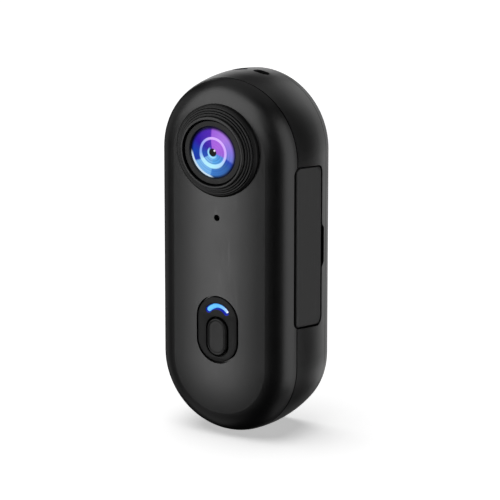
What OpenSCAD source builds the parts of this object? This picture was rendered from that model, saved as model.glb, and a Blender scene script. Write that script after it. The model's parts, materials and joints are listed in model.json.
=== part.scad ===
// Pill-shaped wearable action camera with a hinged port door.
// The frame: X to the right seen from the front, Y from the front to the back, Z up.
// The origin is the centre of the flat back face. Millimetres.

/* [Body] */
// Overall width, at the widest place of the sides
body_w = 30.9; // [30.6:0.1:31.2]
// Overall height
body_h = 72.8; // [71:0.1:76]
// Depth from the middle of the front face, which is slightly crowned, to the flat back face
body_d = 19; // [18.9:0.05:19.2]
// Depth of the front shell, from the front face to the seam
seam_depth = 5.5; // [5.4:0.05:5.6]
// Depth of the back cover, from the back face to its seam
cover_depth = 2.2; // [2.1:0.05:2.3]
// Wall thickness of the shells
wall = 1.5; // [1.4:0.05:1.6]
// Radius of the shallow crown across the front face
crown_r = 60; // [56:1:66]
// Rounding of the front edge
edge_r = 5.7; // [5.6:0.05:5.8]
// Rounding of the back edge
back_edge_r = 1.2; // [0.9:0.1:1.3]

/* [Lens] */
// Height of the lens axis above the middle of the body
lens_z = 22.6; // [22.4:0.1:22.8]
// Radius of the bezel where it meets the front face
bezel_r = 9.2; // [9:0.05:9.3]
// How far the bezel's lip stands in front of the front face
bezel_rise = 2.05; // [1.95:0.05:2.2]
// Radius of the visible glass
glass_r = 5.15; // [5.05:0.05:5.2]

/* [Button] */
// Height of the button plate's centre
plate_z = -13.8; // [-14:0.1:-13.6]
// Width of the button plate
plate_w = 9.15; // [9:0.05:9.3]
// Height of the button plate
plate_h = 13.45; // [13.3:0.05:13.6]
// Height of the button's centre
button_z = -15.2; // [-15.3:0.05:-15.1]
// Width of the button
button_w = 4.8; // [4.6:0.05:4.9]
// Height of the button
button_h = 7.7; // [7.5:0.05:7.8]
// Travel of the button
button_travel = 0.35; // [0.2:0.05:0.35]

/* [Port door] */
// Height of the door's lower edge, half way from front to back
door_z0 = -13.15; // [-13.3:0.05:-13.05]
// Height of the door's upper edge, half way from front to back
door_z1 = 19.1; // [18.9:0.05:19.3]
// Slope of the door's upper and lower edges, which fall towards the back
door_rake = 9; // [7:0.5:10]
// Depth of the door's rear edge, from the back face
door_rear = 4.4; // [4.3:0.05:4.5]
// Gap round the door
door_gap = 0.3; // [0.25:0.01:0.35]

/* [Eyelet] */
// Width of each lanyard slot
eyelet_w = 3.4; // [3.2:0.1:3.5]
// Width of the bar between the two slots
eyelet_bar = 1.6; // [1.5:0.1:1.8]

/* [Hidden] */
$fn = 60;

// Colours
shell_black = [0.16, 0.16, 0.17];
cover_black = [0.14, 0.14, 0.15];
door_black = [0.19, 0.19, 0.2];
bezel_black = [0.13, 0.13, 0.14];
ring_black = [0.2, 0.2, 0.2];
plate_black = [0.12, 0.12, 0.13];
button_black = [0.2, 0.2, 0.21];
anodised_black = [0.08, 0.08, 0.09];
seal_grey = [0.3, 0.3, 0.32];
foam_grey = [0.4, 0.4, 0.42];
chip_black = [0.1, 0.1, 0.11];
board_green = [0.05, 0.35, 0.2];
connector_cream = [0.85, 0.82, 0.72];
flex_amber = [0.8, 0.5, 0.15];
lead_red = [0.75, 0.1, 0.1];
filter_red = [0.6, 0.15, 0.2];
glass_violet = [0.4, 0.3, 0.9];
glass_blue = [0.5, 0.7, 0.95];
led_blue = [0.35, 0.75, 1];
sensor_gold = [0.75, 0.6, 0.3];
battery_silver = [0.7, 0.72, 0.75];
steel = [0.75, 0.76, 0.78];
nickel = [0.8, 0.8, 0.78];
brass = [0.8, 0.65, 0.3];

// Segments of large, shallow arcs
fine = 360;
// Past every face, for cuts
over = 5;
// Gap of a close fit between fixed pieces
fit = 0.01;

half_w = body_w / 2;
cap_z = body_h / 2 - half_w;
front_y = -body_d;
seam_y = front_y + seam_depth;
cover_y = -cover_depth;

// Body outline: centres of the arcs of the crown, the side, the front edge and the back edge.
// The side is one long arc, widest at wide_y. The crown leaves a narrow flat along the middle.
// Each edge arc is tangent to its two neighbours.
wide_y = -8.3;
side_r = 36;
crown_flat = 0.3;
crown_c = [crown_flat, front_y + crown_r];
side_c = [half_w - side_r, wide_y];
apart = norm(side_c - crown_c);
along = (pow(crown_r - edge_r, 2) - pow(side_r - edge_r, 2) + pow(apart, 2)) / (2 * apart);
across = sqrt(pow(crown_r - edge_r, 2) - pow(along, 2));
line = (side_c - crown_c) / apart;
edge_c = crown_c + along * line + across * [-line[1], line[0]];
back_c = [
    side_c[0] + sqrt(pow(side_r - back_edge_r, 2) - pow(back_edge_r + wide_y, 2)),
    -back_edge_r
];

// Inner flanges at the seam, with the gasket between them
flange_x = 12.2;
front_flange_t = 1.2;
rear_flange_t = 1;
gasket_x = 12.5;
gasket_w = 0.6;
gasket_t = 0.6;
seam_x = edge_c[0] + sqrt(pow(edge_r, 2) - pow(seam_y - edge_c[1], 2));
seam_groove_d = 0.16;

// Ledge that the back cover is taped to
ledge_x = 12.4;
ledge_t = 1.2;
tape_t = 0.12;
tape_inset = 0.55;
cover_floor_y = -1.5;
cover_pocket_x = 11.6;

// Screws that join the shells: places on X and Z
screw_spots = [[9.3, 27], [-9.3, 27], [8.4, -28.2], [-8.4, -28.2]];
boss_r = 1.9;
boss_inset = 0.6;
insert_r = 1.2;
insert_len = 2.2;
screw_r = 0.68;
screw_seat_y = -8.6;
screw_head_r = 1.2;
screw_head_t = 0.9;
screw_clear = 0.12;
tower_end_y = -6.6;
// Space left past the tip of each screw
tip_gap = 0.1;

// Lens module, from front to back
lip_y = front_y - bezel_rise;
bezel_seat_t = 1;
bezel_seat_y = front_y + bezel_seat_t;
bezel_gap = 0.05;
bezel_in_r = 6.45;
bezel_slope = 0.45;
lip_w = 0.75;
// Tiers of the stepped cone: outer radius, height in front of the front face
bezel_tiers = [
    [bezel_r, 0.5],
    [bezel_r - 0.65, 0.85],
    [bezel_r - 1.1, 1.15],
    [bezel_r - 1.5, 1.45]
];
lens_hole_r = 7;
spigot_r = 6.95;
spigot_len = 2;
ring_r = 6.35;
ring_depth = 0.45;
ring_y = lip_y + ring_depth;
ring_t = 0.8;
ring_skirt = 1.4;
ring_bevel = 0.5;
barrel_r = 5.75;
barrel_y0 = ring_y + ring_t;
barrel_y1 = -12.2;
lens_shoulder = 0.15;
front_lens_r = glass_r + lens_shoulder;
glass_depth = 0.05;
front_lens_y = ring_y + glass_depth;
front_lens_t = 1;
front_lens_back_y = -18.1;
front_curve_r = 14;
back_curve_r = 6.5;
element_r = 3.55;
element_bore_r = 3.6;
element_curve_r = 12;
element_t = 2;
stop_y = -15.5;
stop_t = 0.3;
stop_hole_r = 1.1;
o_ring_y = -17.2;
holder_half = 7.2;
holder_y0 = -14.2;
holder_y1 = -9.7;
holder_post = 6;
holder_spots = [for (x = [-1, 1], z = [-1, 1]) [x * holder_post, lens_z + z * holder_post]];
holder_post_r = 1.15;
holder_screw_r = 0.45;
holder_screw_grip = 1.6;
holder_head_r = 0.9;
holder_head_t = 0.5;
holder_screw_clear = 0.05;
filter_y = -11.6;
filter_t = 0.4;
filter_w = 7.1;
filter_lip = 0.45;
sensor_w = 7.4;
sensor_h = 6.4;
sensor_room = 0.5;
sensor_t = 0.9;
sensor_board_t = 0.8;

// Controls behind the front wall
plate_t = 1;
plate_sink = 0.1;
plate_gap = 0.24;
button_gap = 0.28;
button_proud = 0.25;
button_rim = 0.9;
button_clear = 0.15;
button_flange_y = front_y + wall + button_clear;
button_flange_t = 0.6;
stem_r = 1;
stem_y = -16;
control_y0 = -14.6;
control_t = 0.8;
control_lo = [-4.6, -21];
control_hi = [4.6, 12.4];
control_r = 0.8;
led_r = 2.65;
led_w = 0.95;
led_sweep = 100;
led_gap = 0.05;
led_z = plate_z + plate_h / 2 - plate_w / 2;
led_chip_t = 0.7;
led_chip_w = 2;
led_chip_h = 1;
led_chip_gap = 0.1;
plunger_r = 0.8;
plunger_fit = 0.05;
plunger_stop = 0.05;
switch_t = 0.8;
switch_w = 4.2;
switch_h = 3.2;
mic_z = 9.1;
mic_r = 0.65;
mic_t = 1.1;
mic_w = 3;
mic_h = 3.8;
mic_port_r = 0.4;
mic_gasket_r = 1.4;
mic_gasket_gap = 0.03;

// Main board and what it carries
board_y0 = -11.6;
board_t = 1;
board_y1 = board_y0 + board_t;
board_r = 11.9;
board_z0 = -25.5;
board_z1 = 13.5;
board_posts = [[-9.6, 10.9], [8.6, -22.6]];
board_screw_r = 0.55;
board_screw_len = 3.2;
board_head_r = 1.1;
board_head_t = 0.6;
post_r = 1.5;
// Connector and flat cable behind the board: places on X and Z, Z from the board's upper edge
connector_h = 0.9;
connector_lo = [-6, -2.9];
connector_hi = [0, -0.7];
flex_y0 = board_y1 + connector_h;
flex_t = 0.15;
flex_x0 = -5;
flex_x1 = -1;
flex_tail = 3.1;
// Chips in front of the board: x0, z0, x1, z1, height
processor_box = [-5, -8, 5, 2, 1];
can_box = [-7, -12, 7, 6, 1.6];
can_t = 0.2;
memory_box = [-9.5, -19, -3.5, -13.5, 0.9];
inductor_box = [4, -18, 8, -14, 1.4];
inductor_r = 0.6;
antenna_box = [-8, -24.8, -3, -23, 1];
// Link between the two boards
link_x = 2.4;
link_z0 = -20.8;
link_z1 = -18.6;
port_x = 12.1;
usb_w = 8.94;
usb_t = 3.26;
usb_len = 7.35;
usb_shell_t = 0.3;
usb_back = 1;
usb_z = 8.2;
usb_y = board_y1 + usb_t / 2;
usb_port_gap = 0.2;
tongue_w = 6.7;
tongue_t = 0.7;
tongue_inset = 0.9;
card_w = 11;
card_len = 15;
card_t = 0.7;
card_z = -5.4;
card_y0 = board_y1 + 0.4;
card_x1 = 12;
card_x0 = card_x1 - card_len;
card_step = 1.3;
card_step_x = 7;
card_push = 0.6;
card_fit = 0.1;
card_port_gap = 0.35;
socket_wall = 1.2;
socket_back = 0.8;
socket_roof = 0.4;
socket_inset = 0.5;
card_stop = 0.15;

// Battery
battery_x = 11.2;
battery_y0 = -6.9;
battery_y1 = -2.6;
battery_z0 = -24;
battery_z1 = 10.4;
battery_r = 1.4;
lead_r = 0.35;
lead_xs = [-7.5, -6.6];
lead_z = battery_z1 + 0.6;
protection_x = 9;
protection_inset = 0.5;
protection_h = 1;
pad_lo = [-8, -20];
pad_hi = [8, 6];
pad_r = 1;
magnet_r = 4.5;
magnet_t = 0.85;
magnet_z = 14;

// Port door, its hinge and its recess
hinge_inset = 1.05;
hinge_set = 0.5;
hinge_x = half_w - hinge_inset;
hinge_y = seam_y + hinge_set;
knuckle_r = 0.75;
knuckle_gap = 0.3;
// Rounding of the door's front edge
toe_r = 0.2;
pin_r = 0.3;
pin_clear = 0.05;
pin_reach = 1.2;
door_margin = 0.05;
door_y0 = hinge_y - knuckle_r - door_margin;
door_y1 = -door_rear;
door_web = 0.3;
door_in_x = hinge_x - door_web;
door_mid_y = (door_y0 + door_y1) / 2;
door_front_r = 1.2;
door_back_r = 1.5;
recess_d = 2.05;
recess_x = half_w - recess_d;
// Gap in front of the door, with room for its front edge to turn
turn_gap = 0.6;
frame_margin = 2.8;
frame_front = 1.2;
frame_back = 1.1;
nail_z = 2.1;
nail_h = 8.9;
nail_w = 0.95;
nail_d = 0.5;
nail_x = hinge_x - nail_d;
nail_root = 1;
seal_w = 0.9;
seal_inset = 1.2;
seal_gap = 0.1;
seal_r = 1.7;
seal_y0 = hinge_y + knuckle_r + knuckle_gap;
seal_y1 = door_y1 - seal_inset;
seal_rise = seal_w / cos(door_rake);

// The pin runs past both ends of the door
hinge_z = raked_z((door_z0 + door_z1) / 2, hinge_y);
hinge_h = door_z1 - door_z0 + 2 * (door_gap + pin_reach);

// Lanyard eyelet
eyelet_y = -6.2;
eyelet_d = 2.2;
eyelet_floor = 32.6;
eyelet_bridge = 34.4;
eyelet_wall = 1.2;
eyelet_x = eyelet_bar / 2 + eyelet_w / 2;
eyelet_block = eyelet_x + eyelet_w / 2 + eyelet_wall;

// ---- Helpers -------------------------------------------------------------

// Box between two corners
module slab(lo, hi) {
    translate(lo) cube(hi - lo);
}

// Round rod along Y between two depths, at place [x, z]
module rod_y(r, y0, y1, at = [0, 0]) {
    translate([at[0], y0, at[1]]) rotate([-90, 0, 0]) cylinder(r = r, h = y1 - y0);
}

// Flat shape on X and Z, extruded along Y between two depths
module plate_y(y0, y1) {
    translate([0, y1, 0]) rotate([90, 0, 0]) linear_extrude(height = y1 - y0) children();
}

// Flat shape on Y and Z, extruded along X
module plate_x(x0, x1) {
    translate([x0, 0, 0]) rotate([90, 0, 90]) linear_extrude(height = x1 - x0) children();
}

// Upright stadium outline
module stadium(w, h) {
    square([w, h - w], center = true);
    for (end = [-1, 1]) translate([0, end * (h - w) / 2]) circle(d = w);
}

// Rounded rectangle outline between two corners
module round_rect(lo, hi, r) {
    translate([lo[0] + r, lo[1]]) square([hi[0] - lo[0] - 2 * r, hi[1] - lo[1]]);
    translate([lo[0], lo[1] + r]) square([hi[0] - lo[0], hi[1] - lo[1] - 2 * r]);
    for (x = [lo[0] + r, hi[0] - r], y = [lo[1] + r, hi[1] - r]) translate([x, y]) circle(r = r);
}

// A half section (radius, depth) carried round the pill: two turned ends and a straight middle
module pill() {
    for (end = [0, 1])
        mirror([0, 0, end])
            translate([0, 0, -cap_z]) rotate([-90, 0, 0]) rotate_extrude(angle = 180) children();
    linear_extrude(height = 2 * cap_z, center = true) {
        children();
        mirror([1, 0]) children();
    }
}

// Half section of the body, set in from its surface. The polygon's spokes meet the arcs where they join.
module body_half(inset = 0) {
    intersection() {
        translate(side_c) circle(r = side_r - inset, $fn = fine);
        union() {
            translate(crown_c) circle(r = crown_r - inset, $fn = fine);
            translate([0, front_y + inset]) square([crown_flat, crown_r]);
        }
        union() {
            polygon([
                [0, front_y - over],
                edge_c + (edge_r + over) * (edge_c - crown_c) / (crown_r - edge_r),
                edge_c,
                edge_c + (edge_r + over) * (edge_c - side_c) / (side_r - edge_r),
                back_c + (back_edge_r + over) * (back_c - side_c) / (side_r - back_edge_r),
                back_c,
                [back_c[0], 0],
                [0, 0]
            ]);
            translate(edge_c) circle(r = edge_r - inset);
            translate(back_c) circle(r = back_edge_r);
        }
    }
}

// Half section of everything between two depths, from a radius outwards
module depth_band(y0, y1, x0 = 0) {
    translate([x0, y0]) square([half_w + over - x0, y1 - y0]);
}

// Height of a raked edge at a depth, from its height half way along the door
function raked_z(z, y) = z - tan(door_rake) * (y - door_mid_y);

// Side outline with raked ends and rounded corners, between two corners [depth, height]
module raked(lo, hi, front_r, back_r) {
    slant = [sin(door_rake), cos(door_rake)];
    bottom_front = [lo[0] + front_r, raked_z(lo[1], lo[0] + front_r) + front_r / slant[1]];
    bottom_back = [hi[0] - back_r, raked_z(lo[1], hi[0] - back_r) + back_r / slant[1]];
    top_back = [hi[0] - back_r, raked_z(hi[1], hi[0] - back_r) - back_r / slant[1]];
    top_front = [lo[0] + front_r, raked_z(hi[1], lo[0] + front_r) - front_r / slant[1]];
    polygon([
        [lo[0], bottom_front[1]],
        bottom_front - front_r * slant,
        bottom_back - back_r * slant,
        [hi[0], bottom_back[1]],
        [hi[0], top_back[1]],
        top_back + back_r * slant,
        top_front + front_r * slant,
        [lo[0], top_front[1]]
    ]);
    for (place = [bottom_front, top_front]) translate(place) circle(r = front_r);
    for (place = [bottom_back, top_back]) translate(place) circle(r = back_r);
}

// Side outline of the port door, grown by a gap at the front and another on the other sides
module door_outline(front_gap = 0, gap = 0) {
    rise = gap / cos(door_rake);
    raked([door_y0 - front_gap, door_z0 - rise], [door_y1 + gap, door_z1 + rise],
          door_front_r + gap, door_back_r + gap);
}

// Space cut from the shells for the door, with the nail recess behind it
module door_recess() {
    plate_x(recess_x, half_w + over) door_outline(turn_gap, door_gap);
    plate_x(nail_x, half_w + over)
        polygon([
            [door_y1 - nail_root, nail_z - nail_h / 2],
            [door_y1 + door_gap, nail_z - nail_h / 2],
            [door_y1 + door_gap + nail_w, nail_z - nail_h / 2 + nail_w],
            [door_y1 + door_gap + nail_w, nail_z + nail_h / 2 - nail_w],
            [door_y1 + door_gap, nail_z + nail_h / 2],
            [door_y1 - nail_root, nail_z + nail_h / 2]
        ]);
}

// Thick wall behind the door recess
module port_frame() {
    intersection() {
        slab([flange_x, door_y0 - frame_front, door_z0 - frame_margin],
             [half_w, door_y1 + frame_back, door_z1 + frame_margin]);
        pill() body_half(boss_inset);
    }
}

// Posts and bosses, kept inside the wall
module inside_wall() {
    intersection() {
        children();
        pill() body_half(boss_inset);
    }
}

// V groove that marks the seam
module seam_groove() {
    translate([seam_x, seam_y]) rotate(45) square(seam_groove_d * sqrt(2), center = true);
}

// Crescent along the plate's upper end
module crescent(y0, y1, gap = 0) {
    translate([0, y0, led_z]) rotate([-90, 0, 0]) {
        rotate([0, 0, -90 - led_sweep / 2]) {
            rotate_extrude(angle = led_sweep)
                translate([led_r - led_w / 2 - gap, 0]) square([led_w + 2 * gap, y1 - y0]);
            for (turn = [0, led_sweep])
                rotate([0, 0, turn]) translate([led_r, 0, 0]) cylinder(r = led_w / 2 + gap, h = y1 - y0);
        }
    }
}

// ---- Case ----------------------------------------------------------------

module front_shell_section() {
    difference() {
        intersection() {
            body_half();
            depth_band(front_y - over, seam_y);
        }
        difference() {
            body_half(wall);
            depth_band(seam_y - front_flange_t, seam_y + over, flange_x);
        }
        seam_groove();
    }
}

module front_shell() color(shell_black) difference() {
    union() {
        pill() front_shell_section();
        inside_wall() {
            for (spot = screw_spots) rod_y(boss_r, front_y, seam_y, spot);
            for (spot = board_posts) rod_y(post_r, front_y, board_y0, spot);
            for (spot = holder_spots) rod_y(holder_post_r, front_y, holder_y0, spot);
        }
        intersection() {
            port_frame();
            slab([0, front_y, -body_h], [body_w, seam_y, body_h]);
        }
    }
    for (spot = screw_spots) rod_y(insert_r + fit, seam_y - insert_len - tip_gap, seam_y + over, spot);
    for (spot = board_posts) rod_y(board_screw_r + fit, board_y0 - board_screw_len, board_y0 + over, spot);
    for (spot = holder_spots)
        rod_y(holder_screw_r + fit, holder_y0 - holder_screw_grip, holder_y0 + over, spot);
    rod_y(lens_hole_r, front_y - over, seam_y, [0, lens_z]);
    rod_y(bezel_r + bezel_gap, front_y - over, bezel_seat_y, [0, lens_z]);
    rod_y(mic_r, front_y - over, seam_y, [0, mic_z]);
    plate_y(front_y - over, front_y + plate_t)
        translate([0, plate_z]) stadium(plate_w + 2 * plate_gap, plate_h + 2 * plate_gap);
    button_hole(front_y - over, seam_y);
    crescent(front_y - over, seam_y, led_gap);
    door_recess();
    pill() translate([gasket_x, seam_y - gasket_t]) square([gasket_w, gasket_t + over]);
}

module rear_shell_section() {
    difference() {
        intersection() {
            body_half();
            depth_band(seam_y, cover_y - tape_t);
        }
        difference() {
            body_half(wall);
            depth_band(seam_y - over, seam_y + rear_flange_t, flange_x);
            depth_band(cover_y - tape_t - ledge_t, 0, ledge_x);
        }
        seam_groove();
    }
}

module rear_shell() color(shell_black) difference() {
    union() {
        pill() rear_shell_section();
        inside_wall() {
            for (spot = screw_spots) rod_y(boss_r, seam_y, tower_end_y, spot);
            slab([-eyelet_block, eyelet_y - eyelet_d, eyelet_floor - eyelet_wall],
                 [eyelet_block, eyelet_y + eyelet_d, body_h / 2]);
        }
        intersection() {
            port_frame();
            slab([0, seam_y, -body_h], [body_w, 0, body_h]);
        }
    }
    for (spot = screw_spots) {
        rod_y(screw_r + screw_clear, seam_y - over, screw_seat_y, spot);
        rod_y(screw_head_r + screw_clear, screw_seat_y, cover_y, spot);
    }
    eyelet_slots();
    hinge_bore(pin_r + fit);
    door_recess();
    plate_x(flange_x - over, half_w)
        translate([usb_y, usb_z]) stadium(usb_t + 2 * usb_port_gap, usb_w + 2 * usb_port_gap);
    plate_x(flange_x - over, half_w)
        translate([card_y0 + card_t / 2, card_z])
            stadium(card_t + 2 * card_port_gap, card_w + 2 * card_port_gap);
}

// Two upright slots joined by a tunnel under the bar between them
module eyelet_slots() {
    for (side = [-1, 1])
        translate([side * eyelet_x, eyelet_y, eyelet_floor])
            linear_extrude(height = body_h / 2) rotate(90) stadium(eyelet_d, eyelet_w);
    slab([-eyelet_x, eyelet_y - eyelet_d / 2, eyelet_floor],
         [eyelet_x, eyelet_y + eyelet_d / 2, eyelet_bridge]);
}

module back_cover() color(cover_black) difference() {
    pill() intersection() {
        body_half();
        depth_band(cover_y, over);
    }
    pill() translate([0, cover_y - over]) square([cover_pocket_x, over + cover_floor_y - cover_y]);
    for (end = [-1, 1]) rod_y(magnet_r + fit, cover_y - over, cover_floor_y + magnet_t, [0, end * magnet_z]);
}

module cover_tape() color(foam_grey) pill()
    intersection() {
        body_half(tape_inset);
        depth_band(cover_y - tape_t, cover_y, ledge_x);
    }

module housing_gasket() color(seal_grey) pill()
    translate([gasket_x + fit, seam_y - gasket_t + fit]) square([gasket_w - 2 * fit, gasket_t - fit]);

module threaded_inserts() color(brass) difference() {
    for (spot = screw_spots) rod_y(insert_r, seam_y - insert_len, seam_y, spot);
    for (spot = screw_spots) rod_y(screw_r + fit, front_y, seam_y + over, spot);
}

// Screws that run forwards from a seat; the head has a hexagonal recess
module screws(spots, r, head_r, head_t, seat_y, tip_y) {
    difference() {
        for (spot = spots) {
            rod_y(r, tip_y, seat_y, spot);
            rod_y(head_r, seat_y, seat_y + head_t, spot);
        }
        for (spot = spots)
            translate([spot[0], seat_y + head_t / 2, spot[1]]) rotate([-90, 0, 0])
                cylinder(r = head_r / 2, h = head_t, $fn = 6);
    }
}

module shell_screws() color(steel)
    screws(screw_spots, screw_r, screw_head_r, screw_head_t, screw_seat_y, seam_y - insert_len + tip_gap);

module back_magnets() color(nickel)
    for (end = [-1, 1]) rod_y(magnet_r, cover_floor_y, cover_floor_y + magnet_t - fit, [0, end * magnet_z]);

// ---- Lens module -----------------------------------------------------------

// Turned part about the lens axis, from a half section (radius, depth)
module turned() {
    translate([0, 0, lens_z]) rotate([-90, 0, 0]) rotate_extrude() children();
}

// Stepped cone from the front face up to a rounded lip, with a spigot behind it
module lens_bezel() color(bezel_black) turned() {
    difference() {
        union() {
            for (tier = bezel_tiers)
                translate([bezel_in_r, front_y - tier[1]])
                    square([tier[0] - bezel_in_r, tier[1] + bezel_seat_t]);
            translate([bezel_in_r, lip_y + lip_w / 2])
                square([lip_w, bezel_rise]);
            translate([bezel_in_r + lip_w / 2, lip_y + lip_w / 2]) circle(d = lip_w);
            translate([bezel_in_r, front_y]) square([spigot_r - bezel_in_r, bezel_seat_t + spigot_len]);
        }
        translate([bezel_r, front_y - bezel_tiers[0][1]])
            rotate(45) square(bezel_slope * sqrt(2), center = true);
    }
}

module lens_ring() color(ring_black) turned() {
    difference() {
        translate([glass_r, ring_y]) square([ring_r - glass_r, ring_t]);
        translate([glass_r, ring_y]) rotate(45) square(ring_bevel, center = true);
    }
    translate([barrel_r + fit, barrel_y0]) square([ring_r - barrel_r - fit, ring_skirt]);
}

module front_lens() color(glass_violet) difference() {
    intersection() {
        rod_y(front_lens_r, front_y - over, front_lens_back_y, [0, lens_z]);
        translate([0, front_lens_y + front_curve_r, lens_z]) sphere(r = front_curve_r, $fn = fine);
    }
    translate([0, front_lens_y + front_lens_t + back_curve_r, lens_z]) sphere(r = back_curve_r, $fn = fine);
    difference() {
        rod_y(front_lens_r + over, front_y - over, barrel_y0, [0, lens_z]);
        rod_y(glass_r - fit, front_y - 2 * over, barrel_y0 + over, [0, lens_z]);
    }
}

module lens_barrel() color(anodised_black) difference() {
    rod_y(barrel_r, barrel_y0, barrel_y1, [0, lens_z]);
    rod_y(front_lens_r + fit, barrel_y0 - over, front_lens_back_y, [0, lens_z]);
    rod_y(element_bore_r, front_lens_back_y - over, barrel_y1 + over, [0, lens_z]);
}

// Lens element with two domed faces
module element(y0, y1, curve_r) {
    intersection() {
        rod_y(element_r, y0, y1, [0, lens_z]);
        translate([0, y0 + curve_r, lens_z]) sphere(r = curve_r, $fn = fine);
        translate([0, y1 - curve_r, lens_z]) sphere(r = curve_r, $fn = fine);
    }
}

module lens_element_mid() color(glass_blue) element(stop_y - element_t, stop_y, element_curve_r);

module lens_element_rear() color(glass_blue)
    element(stop_y + stop_t, stop_y + stop_t + element_t, element_curve_r);

module aperture_stop() color(anodised_black) difference() {
    rod_y(element_r, stop_y, stop_y + stop_t, [0, lens_z]);
    rod_y(stop_hole_r, stop_y - over, stop_y + over, [0, lens_z]);
}

module lens_o_ring() color(seal_grey) turned()
    translate([(barrel_r + bezel_in_r) / 2, o_ring_y]) circle(r = (bezel_in_r - barrel_r) / 2 - fit);

module lens_holder() color(shell_black) difference() {
    plate_y(holder_y0, holder_y1) translate([0, lens_z]) square(2 * holder_half, center = true);
    rod_y(barrel_r + fit, holder_y0 - over, barrel_y1, [0, lens_z]);
    plate_y(holder_y0, holder_y1) translate([0, lens_z]) square(filter_w - 2 * filter_lip, center = true);
    plate_y(filter_y, holder_y1) translate([0, lens_z]) square(filter_w, center = true);
    plate_y(filter_y + filter_t, holder_y1 + over)
        translate([0, lens_z]) square(sensor_w + 2 * sensor_room, center = true);
    for (spot = holder_spots)
        rod_y(holder_screw_r + holder_screw_clear, holder_y0 - over, holder_y1 + over, spot);
}

module ir_filter() color(filter_red)
    plate_y(filter_y, filter_y + filter_t) translate([0, lens_z]) square(filter_w - 2 * fit, center = true);

module image_sensor() color(sensor_gold)
    plate_y(holder_y1 - sensor_t, holder_y1)
        translate([0, lens_z]) square([sensor_w, sensor_h], center = true);

module sensor_board() color(board_green) difference() {
    plate_y(holder_y1, holder_y1 + sensor_board_t)
        translate([0, lens_z]) square(2 * holder_half, center = true);
    for (spot = holder_spots)
        rod_y(holder_screw_r + holder_screw_clear, holder_y1 - over, holder_y1 + over, spot);
}

module holder_screws() color(steel)
    screws(holder_spots, holder_screw_r, holder_head_r, holder_head_t,
           holder_y1 + sensor_board_t, holder_y0 - holder_screw_grip + tip_gap);

module flex_connector() color(connector_cream)
    slab([connector_lo[0], board_y1, board_z1 + connector_lo[1]],
         [connector_hi[0], flex_y0, board_z1 + connector_hi[1]]);

module sensor_flex() color(flex_amber)
    slab([flex_x0, flex_y0, board_z1 - flex_tail], [flex_x1, flex_y0 + flex_t, lens_z - holder_half]);

// ---- Controls --------------------------------------------------------------

// Hole for the record button
module button_hole(y0, y1) {
    plate_y(y0, y1) translate([0, button_z]) stadium(button_w + 2 * button_gap, button_h + 2 * button_gap);
}

module button_plate() color(plate_black) difference() {
    plate_y(front_y + plate_sink, front_y + plate_t) translate([0, plate_z]) stadium(plate_w, plate_h);
    button_hole(front_y - over, seam_y);
    crescent(front_y - over, seam_y, led_gap);
}

// Pill with a retaining flange and a stem that reaches the switch
module record_button() color(button_black) {
    plate_y(front_y - button_proud, button_flange_y)
        translate([0, button_z]) stadium(button_w, button_h);
    plate_y(button_flange_y, button_flange_y + button_flange_t)
        translate([0, button_z]) stadium(button_w + 2 * button_rim, button_h + 2 * button_rim);
    rod_y(stem_r, button_flange_y + button_flange_t, stem_y, [0, button_z]);
}

module led_window() color(led_blue) crescent(front_y + plate_sink, control_y0 - led_chip_t - led_chip_gap);

module led_chip() color(led_blue)
    plate_y(control_y0 - led_chip_t, control_y0)
        translate([0, led_z + led_r]) square([led_chip_w, led_chip_h], center = true);

module tact_switch() color(steel) difference() {
    plate_y(control_y0 - switch_t, control_y0)
        translate([0, button_z]) square([switch_w, switch_h], center = true);
    rod_y(plunger_r + plunger_fit, control_y0 - over, control_y0 + over, [0, button_z]);
}

module switch_plunger() color(connector_cream)
    rod_y(plunger_r, stem_y, control_y0 - button_travel - plunger_stop, [0, button_z]);

module microphone() color(nickel) difference() {
    plate_y(control_y0 - mic_t, control_y0) translate([0, mic_z]) square([mic_w, mic_h], center = true);
    rod_y(mic_port_r, control_y0 - mic_t - over, control_y0 - mic_t / 2, [0, mic_z]);
}

module mic_gasket() color(seal_grey) difference() {
    rod_y(mic_gasket_r, front_y + wall + mic_gasket_gap, control_y0 - mic_t, [0, mic_z]);
    rod_y(mic_r, front_y, control_y0, [0, mic_z]);
}

module control_board() color(board_green)
    plate_y(control_y0, control_y0 + control_t) round_rect(control_lo, control_hi, control_r);

module board_link() color(connector_cream)
    slab([-link_x, control_y0 + control_t, link_z0], [link_x, board_y0, link_z1]);

// ---- Main board ------------------------------------------------------------

module main_board() color(board_green) difference() {
    plate_y(board_y0, board_y1) intersection() {
        stadium(2 * board_r, 2 * (cap_z + board_r));
        translate([-board_r, board_z0]) square([2 * board_r, board_z1 - board_z0]);
    }
    for (spot = board_posts) rod_y(board_screw_r + screw_clear, board_y0 - over, board_y0 + over, spot);
}

module board_screws() color(steel)
    screws(board_posts, board_screw_r, board_head_r, board_head_t,
           board_y1, board_y0 - board_screw_len + tip_gap);

// Block in front of the main board, from x0, z0, x1, z1 and height
module on_board(box) {
    slab([box[0], board_y0 - box[4], box[1]], [box[2], board_y0, box[3]]);
}

module processor() color(chip_black) on_board(processor_box);

// Folded metal can over the processor
module shield_can() color(nickel) difference() {
    on_board(can_box);
    translate([0, over, 0]) on_board(can_box + can_t * [1, 1, -1, -1, 0] + [0, 0, 0, 0, over - can_t]);
}

module memory_chip() color(chip_black) on_board(memory_box);

module power_inductor() color(chip_black)
    plate_y(board_y0 - inductor_box[4], board_y0)
        round_rect([inductor_box[0], inductor_box[1]], [inductor_box[2], inductor_box[3]], inductor_r);

module wifi_antenna() color(connector_cream) on_board(antenna_box);

module usb_socket() color(nickel) difference() {
    plate_x(port_x - usb_len, port_x) translate([usb_y, usb_z]) stadium(usb_t, usb_w);
    plate_x(port_x - usb_len + usb_back, port_x + over)
        translate([usb_y, usb_z]) stadium(usb_t - 2 * usb_shell_t, usb_w - 2 * usb_shell_t);
}

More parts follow.
